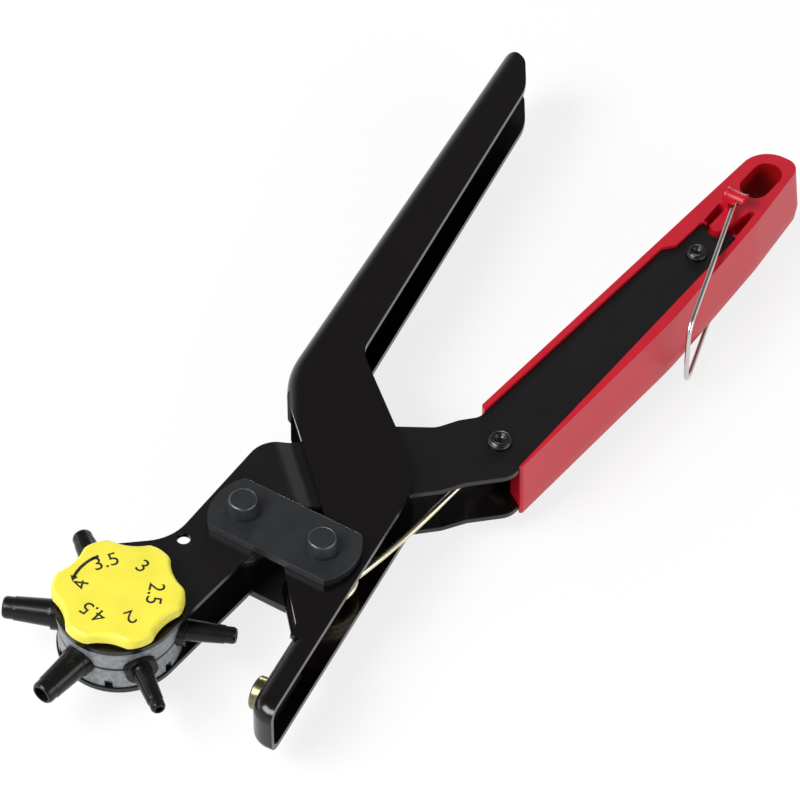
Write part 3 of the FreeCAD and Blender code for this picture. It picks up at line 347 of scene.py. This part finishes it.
slot_shade_red = finish_material(
    "red moulding with painted shade in the slot", SLOT_SHADE_RED, rough=(0.6, 0.7), bump=MOULDED_GRAIN,
    specular=SLOT_SPECULAR)
grip.data.materials.append(slot_shade_red)
slot_shade_index = len(grip.data.materials) - 1
slot_middle = (SLOT_LOW + SLOT_HIGH) / 2
for polygon in grip.data.polygons:
    centre = polygon.center
    inside = all(low < value < high for low, value, high in zip(SLOT_LOW, centre, SLOT_HIGH))
    towards = (slot_middle - centre).dot(polygon.normal) > 0
    if inside and towards and abs(polygon.normal.z) < WALL_LIMIT:
        polygon.material_index = slot_shade_index

# Knob of the grip. Moulded with it over the eye of the closing wire, with a raised rim at
# each end. The wire swings below it.
KNOB_PLACE = Vector((162.7, -30.6, 28.0)) * MM
KNOB_SIDES = 48
KNOB_RIM = 2.0 * MM
KNOB_RIM_LENGTH = 0.8 * MM
KNOB_WAIST_SHARE = 0.91
KNOB_WAIST_LENGTH = 4.4 * MM
KNOB_STEPS = (
    (KNOB_RIM_LENGTH, 1.0), (0.0, KNOB_WAIST_SHARE), (KNOB_WAIST_LENGTH, 1.0),
    (0.0, 1 / KNOB_WAIST_SHARE), (KNOB_RIM_LENGTH, 1.0))
KNOB_LENGTH = 2 * KNOB_RIM_LENGTH + KNOB_WAIST_LENGTH
KNOB_FLATTEN = 0.85
KNOB_ROUND = 0.3 * MM
KNOB_ROUND_STEPS = 3

bpy.ops.object.select_all(action="DESELECT")
bpy.ops.mesh.primitive_circle_add(vertices=KNOB_SIDES, radius=KNOB_RIM, fill_type="NGON")
knob = bpy.context.active_object
knob.name = "wire_knob"
bpy.ops.object.mode_set(mode="EDIT")
bpy.ops.mesh.select_all(action="SELECT")
for lift, widen in KNOB_STEPS:
    bpy.ops.mesh.extrude_region_move(TRANSFORM_OT_translate={"value": (0.0, 0.0, lift)})
    bpy.ops.transform.resize(value=(widen, widen, 1.0), center_override=(0.0, 0.0, 0.0))
bpy.ops.mesh.select_all(action="SELECT")
bpy.ops.transform.translate(value=(0.0, 0.0, -KNOB_LENGTH / 2))
bpy.ops.transform.rotate(
    value=math.pi / 2, orient_axis="X", center_override=(0.0, 0.0, 0.0))
bpy.ops.mesh.bisect(
    plane_co=(0.0, 0.0, 0.0), plane_no=(0.0, 0.0, 1.0), use_fill=True, clear_inner=True)
bpy.ops.mesh.select_all(action="SELECT")
bpy.ops.transform.resize(value=(1.0, 1.0, KNOB_FLATTEN), center_override=(0.0, 0.0, 0.0))
bpy.ops.transform.translate(value=KNOB_PLACE)
bpy.ops.mesh.normals_make_consistent(inside=False)
bpy.ops.object.mode_set(mode="OBJECT")
knob.data.materials.append(grip_red)
round_edges(knob, KNOB_ROUND, KNOB_ROUND_STEPS)
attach(knob, "jaw")

# Grip rivets. Short dark rivets with dished heads, their rounded edges painted lighter, a
# painted highlight.
RIVET = (0.03, 0.031, 0.034)
RIVET_EDGE_HIGHLIGHT = (0.09, 0.09, 0.095)

rivet_steel = finish_material("dark rivet steel", RIVET, rough=(0.25, 0.35), metallic=0.9)
rivet_edge_highlight = finish_material("rivet edge painted highlight", RIVET_EDGE_HIGHLIGHT, rough=(0.2, 0.3), metallic=1.0)
for node in ("handle_rivet_front", "handle_rivet_rear"):
    dressed(node, "jaw", rivet_steel, rivet_edge_highlight, round_over=0.15 * MM)

# Opening spring. Yellow plated wire, wound round the pivot and hooked on the front rivet,
# smooth all the way round but for its cut ends.
SPRING_GOLD = (0.75, 0.68, 0.5)
WIRE_END_LIMIT = math.radians(50)

spring_wire = finish_material(
    "plated spring wire", SPRING_GOLD, rough=(0.2, 0.3), metallic=1.0)
spring = open_copy("opening_spring", spring_wire)
bpy.ops.object.mode_set(mode="OBJECT")
bpy.ops.object.shade_smooth_by_angle(angle=WIRE_END_LIMIT)
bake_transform(spring)
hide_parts("opening_spring")

# Closing bail. One bright nickel wire on the node's own line, a little thinner than the
# node, as the real wire is. Each step of its course runs on by two distances, or bends by
# a quarter turn round a point, in mm.
NICKEL = (0.62, 0.6, 0.57)
WIRE_FOOT = Vector((163.6, -30.24, 15.1)) * MM
WIRE_TURN = math.radians(195)
WIRE_RADIUS = 0.68 * MM
WIRE_SIDES = 24
WIRE_START = 3.5 * MM
WIRE_COURSE = (
    ("run", 0.0, 6.0), ("bend", 2.0, 9.5),
    ("run", 43.2, 0.0), ("bend", 45.2, 6.5),
    ("run", 0.0, -13.0), ("bend", 45.2, -6.5),
    ("run", -43.2, 0.0), ("bend", 2.0, -9.5),
    ("run", 0.0, 6.0))
BEND_STEPS = 12
BEND_ANGLE = -math.pi / 2

nickel = finish_material(
    "bright nickel wire", NICKEL, rough=(0.16, 0.24), metallic=1.0, bump=(900.0, 0.005))
bpy.ops.object.select_all(action="DESELECT")
bpy.ops.mesh.primitive_circle_add(vertices=WIRE_SIDES, radius=WIRE_RADIUS, fill_type="NGON")
bail = bpy.context.active_object
bail.name = "bail_finish"
bpy.ops.object.mode_set(mode="EDIT")
bpy.ops.mesh.select_all(action="SELECT")
bpy.ops.transform.translate(value=(0.0, 0.0, WIRE_START))
for kind, along, up in WIRE_COURSE:
    place = (along * MM, 0.0, up * MM)
    if kind == "run":
        bpy.ops.mesh.extrude_region_move(TRANSFORM_OT_translate={"value": place})
        continue
    for _ in range(BEND_STEPS):
        bpy.ops.mesh.extrude_region_move()
        bpy.ops.transform.rotate(
            value=BEND_ANGLE / BEND_STEPS, orient_axis="Y", center_override=place)
bpy.ops.mesh.select_all(action="SELECT")
bpy.ops.mesh.normals_make_consistent(inside=False)
bpy.ops.object.mode_set(mode="OBJECT")
bail.rotation_euler.z = WIRE_TURN
bail.location = WIRE_FOOT
bpy.ops.object.transform_apply(location=True, rotation=True, scale=True)
bail.data.materials.append(nickel)
bpy.ops.object.shade_smooth_by_angle(angle=WIRE_END_LIMIT)
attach(bail, "bail")
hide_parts("bail")

# Turret. Two die cast halves, tumbled pale grey. A dark band at the waist is painted shade in
# the parting groove, and their rounded edges are painted darker, painted shade too.
CAST = (0.25, 0.272, 0.288)
CAST_EDGE_SHADE = (0.09, 0.095, 0.1)
PARTING_HEIGHT = 15.1 * MM
PARTING_HALF_WIDTH = 0.46 * MM
PARTING_SHADE = (0.02, 0.021, 0.023, 1.0)

cast_metal = finish_material(
    "die cast metal", CAST, rough=(0.36, 0.6), metallic=0.55, mottle=(800.0, 0.75),
    bump=(1200.0, 0.12))
cast_edge_shade = finish_material("die cast edge painted shade", CAST_EDGE_SHADE, rough=(0.35, 0.45), metallic=0.6)
nodes = cast_metal.node_tree.nodes
links = cast_metal.node_tree.links
shader = nodes["Principled BSDF"]
height = nodes.new("ShaderNodeSeparateXYZ")
links.new(nodes["Texture Coordinate"].outputs["Object"], height.inputs["Vector"])
# A band at the parting height is painted dark, painted shade in the parting groove.
seam = nodes.new("ShaderNodeMath")
seam.operation = "COMPARE"
seam.inputs[1].default_value = PARTING_HEIGHT
seam.inputs[2].default_value = PARTING_HALF_WIDTH
links.new(height.outputs["Z"], seam.inputs[0])
parting_shade_tint = nodes.new("ShaderNodeMix")
parting_shade_tint.data_type = "RGBA"
parting_shade_tint.inputs["B"].default_value = PARTING_SHADE
links.new(seam.outputs[0], parting_shade_tint.inputs["Factor"])
links.new(shader.inputs["Base Color"].links[0].from_socket, parting_shade_tint.inputs["A"])
links.new(parting_shade_tint.outputs["Result"], shader.inputs["Base Color"])
for node in ("turret_half_front", "turret_half_back"):
    dressed(node, "turret", cast_metal, cast_edge_shade, round_over=0.3 * MM)

# Punch tubes. Hardened steel with a dark oxide, its rounded edges painted a little lighter,
# a painted highlight.
OXIDE = (0.012, 0.012, 0.013)
OXIDE_EDGE_HIGHLIGHT = (0.02, 0.02, 0.022)

oxide = finish_material(
    "dark oxide steel", OXIDE, rough=(0.2, 0.3), metallic=0.6, mottle=(300.0, 0.25),
    bump=(1600.0, 0.02))
oxide_edge_highlight = finish_material(
    "oxide edge painted highlight", OXIDE_EDGE_HIGHLIGHT, rough=(0.28, 0.36), metallic=0.8)
for size in ("2_0", "2_5", "3_0", "3_5", "4_0", "4_5"):
    dressed(
        "punch_tube_" + size, "turret", oxide, oxide_edge_highlight,
        round_over=0.12 * MM)

# Waste cap. Bright yellow moulding with the tube sizes printed by their tubes. Each number
# is made in mm and then scaled down.
CAP_YELLOW = (0.75, 0.67, 0.06)
INK = (0.012, 0.011, 0.008)
TURRET_CENTRE = Vector((-41.2, 36.1, 0.0)) * MM
CAP_NUMBERS = (
    ("2.5", -67.0), ("2", -127.0), ("4.5", 173.0),
    ("4", 113.0), ("3.5", 53.0), ("3", -7.0))
NUMBER_RADIUS = 9.6 * MM
NUMBER_SIZE = 6.0
PRINT_THICKNESS = 0.04 * MM

cap_yellow = finish_material(
    "yellow moulding", CAP_YELLOW, rough=(0.3, 0.4), bump=(1500.0, 0.01))
dressed("waste_cap", "cap", cap_yellow, cap_yellow, round_over=0.2 * MM)
ink = finish_material("dark print", INK, rough=(0.45, 0.55))
cap_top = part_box("waste_cap")[1].z
print_centre = TURRET_CENTRE + Vector((0.0, 0.0, cap_top))
for text, angle in CAP_NUMBERS:
    turn = math.radians(angle)
    out = Vector((math.cos(turn), math.sin(turn), 0.0))
    bpy.ops.object.select_all(action="DESELECT")
    bpy.ops.object.text_add()
    number = bpy.context.active_object
    number.name = "number_" + text.replace(".", "_")
    number.data.body = text
    number.data.size = NUMBER_SIZE
    number.data.align_x = "CENTER"
    number.data.align_y = "CENTER"
    number.data.extrude = PRINT_THICKNESS / MM
    bpy.ops.object.convert(target="MESH")
    number.scale = (MM, MM, MM)
    number.rotation_euler.z = turn - math.pi / 2
    number.location = print_centre + out * NUMBER_RADIUS
    bpy.ops.object.transform_apply(location=True, rotation=True, scale=True)
    number.data.materials.append(ink)
    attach(number, "cap")

# Turning arrow. A printed arc outside the numbers that ends in a head beside the 4. It is
# the part of a ring between two angles, widened inwards, with a triangle at its end.
ARROW_RADIUS = 12.6 * MM
ARROW_WIDTH_SHARE = 0.93
ARROW_START = math.radians(57.0)
ARROW_END = math.radians(104.0)
ARROW_STEPS = 180
ARROW_HEAD = 1.2 * MM

bpy.ops.object.select_all(action="DESELECT")
bpy.ops.mesh.primitive_circle_add(
    vertices=ARROW_STEPS, radius=ARROW_RADIUS, fill_type="NOTHING")
arrow = bpy.context.active_object
arrow.name = "turning_arrow"
arc_middle = (ARROW_START + ARROW_END) / 2
arc_half = (ARROW_END - ARROW_START) / 2
bpy.ops.object.mode_set(mode="EDIT")
bpy.ops.mesh.select_mode(type="VERT")
bpy.ops.mesh.select_all(action="DESELECT")
bpy.ops.object.mode_set(mode="OBJECT")
for vertex in arrow.data.vertices:
    along = math.atan2(vertex.co.y, vertex.co.x)
    vertex.select = abs(math.remainder(along - arc_middle, 2 * math.pi)) > arc_half
bpy.ops.object.mode_set(mode="EDIT")
bpy.ops.mesh.delete(type="VERT")
bpy.ops.mesh.select_all(action="SELECT")
bpy.ops.mesh.extrude_edges_move()
bpy.ops.transform.resize(
    value=(ARROW_WIDTH_SHARE, ARROW_WIDTH_SHARE, 1.0), center_override=(0.0, 0.0, 0.0))
bpy.ops.object.mode_set(mode="OBJECT")
head_out = Vector((math.cos(ARROW_END), math.sin(ARROW_END), 0.0))
head_place = head_out * ARROW_RADIUS * (1 + ARROW_WIDTH_SHARE) / 2
bpy.ops.object.select_all(action="DESELECT")
bpy.ops.mesh.primitive_circle_add(
    vertices=3, radius=ARROW_HEAD, fill_type="NGON", location=head_place)
head = bpy.context.active_object
head.rotation_euler.z = ARROW_END
bpy.ops.object.transform_apply(location=True, rotation=True, scale=True)
arrow.select_set(True)
bpy.context.view_layer.objects.active = arrow
bpy.ops.object.join()
bpy.ops.object.mode_set(mode="EDIT")
bpy.ops.mesh.select_all(action="SELECT")
bpy.ops.mesh.extrude_region_move(
    TRANSFORM_OT_translate={"value": (0.0, 0.0, PRINT_THICKNESS)})
bpy.ops.mesh.select_all(action="SELECT")
bpy.ops.mesh.normals_make_consistent(inside=False)
bpy.ops.object.mode_set(mode="OBJECT")
arrow.location = print_centre
bpy.ops.object.transform_apply(location=True, rotation=True, scale=True)
arrow.data.materials.append(ink)
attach(arrow, "cap")
